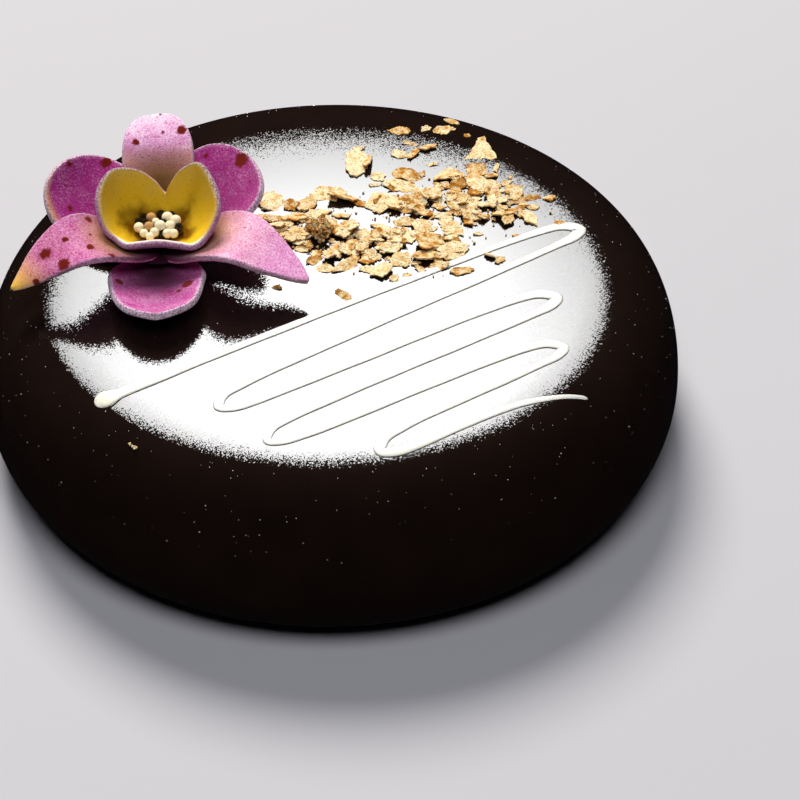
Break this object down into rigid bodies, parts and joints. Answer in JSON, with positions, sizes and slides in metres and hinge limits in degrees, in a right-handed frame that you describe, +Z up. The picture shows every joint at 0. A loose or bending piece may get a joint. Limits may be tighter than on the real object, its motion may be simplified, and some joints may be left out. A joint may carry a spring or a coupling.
{
  "type": "ice cream cake",
  "caption": "Round ice cream cake with rounded edges under a dark mirror glaze, topped with a sugar-paste flower, wafer flakes and a zigzag of white drizzle.",
  "frame": {"origin": "middle of the flat underside, on the surface that the cake stands on", "axes": "+Z up along the cake's axis; the viewer of the picture stands towards -Y, with the flower on the -X side"},
  "size_m": [0.2, 0.2, 0.0818],
  "materials": {
    "dark_glaze": "dark chocolate mirror glaze, smooth and glossy",
    "petal_paste": "matt sugar paste, lilac with a paler rim",
    "sepal_paste": "matt sugar paste, pale lilac with dark red spots",
    "cup_paste": "matt sugar paste, warm yellow with a pale rim",
    "sugar_pearl": "satin sugar pearls, cream"
  },
  "bodies": {
    "root": {"glazed_cake": "dark_glaze", "petals": "petal_paste", "sepals": "sepal_paste", "flower_cup": "cup_paste", "flower_pearls": "sugar_pearl"}
  },
  "joints": []
}
